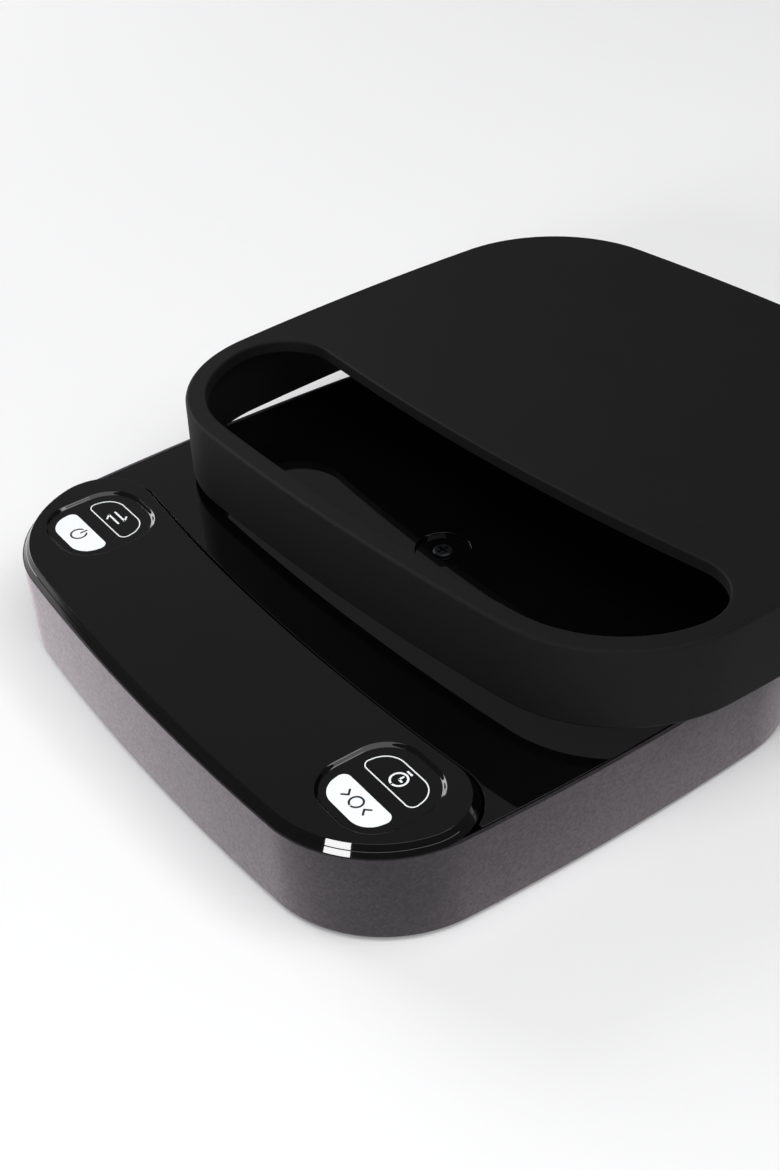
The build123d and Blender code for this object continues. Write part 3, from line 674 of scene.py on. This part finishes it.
def clock_mark(x, y):
    """Clock sign: a ring, two hands and a crown."""
    long_hand, short_hand = y + 0.6 * MARK_R, x + 0.5 * MARK_R
    crown, crown_half = y + 1.45 * MARK_R, 0.35 * MARK_R
    return [stroke_arc((x, y), MARK_R, pi / 2 - RING_HALF, pi / 2 + RING_HALF),
            stroke_line((x, y), (x, long_hand)), stroke_line((x, y), (short_hand, y)),
            stroke_line((x - crown_half, crown), (x + crown_half, crown))]


def zero_mark(x, y):
    """Set-to-zero sign: a nought between two arrow heads."""
    nought, apart, barb = 0.8 * MARK_R, 1.45 * MARK_R, 0.55 * MARK_R
    marks = [stroke_arc((x, y), nought, pi / 2 - RING_HALF, pi / 2 + RING_HALF)]
    for side in (-1, 1):
        tip = x + side * apart
        for rise in (-1, 1):
            marks.append(stroke_line((tip, y), (tip + side * barb, y + rise * barb)))
    return marks


def swap_mark(x, y):
    """Change-over sign: two arrows that point opposite ways, one over the other."""
    half_gap, half_length, barb = 0.45 * MARK_R, 1.25 * MARK_R, 0.6 * MARK_R
    marks = []
    for side in (-1, 1):
        row = y + side * half_gap
        tip, tail = x + side * half_length, x - side * half_length
        marks.append(stroke_line((tail, row), (tip, row)))
        marks.append(stroke_line((tip, row), (tip - side * barb, row + side * barb)))
    return marks


def make_keys():
    """Four printed keys: in each well a filled one in front and an outlined one behind, each with a sign."""
    floor = PANEL_TOP - WELL_DEPTH
    y = WELL_Y - DEPTH / 2 + KEY_SHIFT
    x = WIDTH / 2 - WELL_END
    middle = (KEY_SPLIT + KEY_DEPTH) / 2
    keys = {"power": (-x, -1, power_mark), "zero": (x, -1, zero_mark),
            "mode": (-x, 1, swap_mark), "timer": (x, 1, clock_mark)}
    for name, (key_x, way, mark) in keys.items():
        path = key_path(key_x, y, way)
        filled = way < 0
        key = build(f"key_{name}", (plate if filled else line_loop)(path, floor, floor + INK))
        finish_piece(key, "base", "gloss_black", WHITE_INK)
        low = floor + (INK if filled else 0)
        strokes = mark(key_x, y + way * (middle - MARK_SHIFT))
        inked = [patch for stroke in strokes for patch in plate(stroke, low, low + MARK_INK)]
        sign = build(f"key_sign_{name}", inked)
        finish_piece(sign, "base", "gloss_black", DARK_INK if filled else WHITE_INK)


def make_cap():
    """Cap: a rounded wall round the grown outline and a level top with a window shaped like the panel."""
    wall = outline(CAP_BORE)
    window = band(WINDOW_GROW, WINDOW_DEPTH)
    flat = CAP_WALL - CAP_ROUND - FLAT_RIM
    rim = WINDOW_ROUND + FLAT_RIM
    wall_section = profile([
        (0, -CAP_TOP, 0), (0, -CAP_HEIGHT, CAP_INNER_ROUND), (CAP_WALL, -CAP_HEIGHT, CAP_FOOT_ROUND),
        (CAP_WALL, 0, CAP_ROUND), (flat, 0, 0)])
    window_section = profile([(rim, 0, 0), (0, 0, WINDOW_ROUND), (0, -CAP_TOP, 0)])
    patches = [sweep(wall, wall_section), sweep(window, window_section),
               fill(0, [ring(wall, flat), ring(window, rim)]),
               fill(-CAP_TOP, [ring(wall, 0), ring(window, 0)], up=False)]
    tilt = np.eye(3)
    for turn, axis in ((CAP_TURN, "Z"), (CAP_LEAN, "Y"), (CAP_PITCH, "X")):
        tilt = tilt @ np.array(Matrix.Rotation(turn, 3, axis))
    low, high = node_box("cover")
    cap = build("cap", patches, tilt, (low + high) / 2)
    finish_piece(cap, "cover", "cover_black", CAP_RUBBER, "cover")


def finish_nodes():
    """Give every CAD node that stays in view the material of its slot."""
    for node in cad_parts.values():
        for slot in node.material_slots:
            slot.material = SLOT_MATERIALS[slot.material.name.split(".")[0]]


# Camera, floor and light

TARGET_SHIFT = (-20.324, 12.299)
TARGET = np.array([*(CENTRE + TARGET_SHIFT), 0.0])
CAMERA_TURN = radians(56.96)
CAMERA_RISE = radians(37.38)
CAMERA_ROLL = radians(-3.95)
CAMERA_REACH = 432.8
FOCAL_PIXELS = 1858.0
FRAME_HEIGHT = 1170.0
SENSOR = 36.0
CLIP_START = 10.0
FLOOR_HALF = 6000.0
WORLD_STRENGTH = 0.11

# Each lamp's turn from the front and rise in degrees, reach and size in millimetres, power in watts
LAMPS = {
    "high_right_lamp": {"turn": 130, "rise": 54, "reach": 1100, "width": 260, "height": 260, "power": 1},
    "overhead_lamp": {"turn": 80, "rise": 66, "reach": 1300, "width": 1600, "height": 1600, "power": 15.3},
    "back_lamp": {"turn": -123, "rise": 38, "reach": 1500, "width": 2200, "height": 1500, "power": 1.0},
    "front_lamp": {"turn": 22, "rise": 20, "reach": 1100, "width": 320, "height": 220, "power": 5},
    "left_lamp": {"turn": -80, "rise": 20, "reach": 1300, "width": 700, "height": 700, "power": 9.5},
}


def aim(turn, rise):
    """Unit vector from the object towards a place at a turn from the front and a rise above the floor."""
    return np.array([sin(turn) * cos(rise), -cos(turn) * cos(rise), sin(rise)])


def facing(back, roll=0.0):
    """Turn of a camera or lamp that looks along -back, rolled about its own axis."""
    across = np.cross((0, 0, 1), back)
    across /= np.linalg.norm(across)
    up = np.cross(back, across)
    side = cos(roll) * across + sin(roll) * up
    return Matrix(np.stack([side, np.cross(back, side), back], 1).tolist())


def make_camera():
    """Camera at the photograph's view, with the photograph's focal length in pixels."""
    camera = bpy.data.cameras.new("camera")
    camera.sensor_width = SENSOR
    camera.lens = FOCAL_PIXELS / FRAME_HEIGHT * SENSOR
    camera.clip_start = CLIP_START * MM
    holder = bpy.data.objects.new("camera", camera)
    back = aim(CAMERA_TURN, CAMERA_RISE)
    place = (TARGET + CAMERA_REACH * back) * MM
    holder.matrix_world = Matrix.LocRotScale(place, facing(back, CAMERA_ROLL), None)
    bpy.context.collection.objects.link(holder)
    bpy.context.scene.camera = holder


def make_lamp(name, turn, rise, reach, width, height, power):
    """Soft rectangular lamp that faces the object."""
    lamp = bpy.data.lights.new(name, "AREA")
    lamp.shape = "RECTANGLE"
    lamp.size = width * MM
    lamp.size_y = height * MM
    lamp.energy = power
    holder = bpy.data.objects.new(name, lamp)
    back = aim(radians(turn), radians(rise))
    holder.matrix_world = Matrix.LocRotScale((TARGET + reach * back) * MM, facing(back), None)
    bpy.context.collection.objects.link(holder)


def make_floor():
    """Wide level floor in plain matte paint, at the level of the feet."""
    mesh = bpy.data.meshes.new("floor")
    corners = np.array([(-1, -1, 0), (1, -1, 0), (1, 1, 0), (-1, 1, 0)]) * FLOOR_HALF * MM
    mesh.from_pydata(corners, [], [(0, 1, 2, 3)])
    floor = bpy.data.objects.new("floor", mesh)
    material, tree, output, _ = start_material("matte_white_paint")
    shade(tree, output, Base_Color=linear("#f2f2f3"), Roughness=0.9, Specular_IOR_Level=0.0)
    mesh.materials.append(material)
    bpy.context.collection.objects.link(floor)


def make_world():
    """Even dim light from all round."""
    world = bpy.data.worlds.new("studio")
    world.use_nodes = True
    background = world.node_tree.nodes["Background"]
    background.inputs["Color"].default_value = linear("#ffffff")
    background.inputs["Strength"].default_value = WORLD_STRENGTH
    bpy.context.scene.world = world


make_shell()
make_panel()
make_deck()
make_keys()
make_cap()
finish_nodes()
make_floor()
make_world()
for lamp_name, lamp_values in LAMPS.items():
    make_lamp(lamp_name, **lamp_values)
make_camera()
bpy.context.scene.view_settings.view_transform = "Standard"
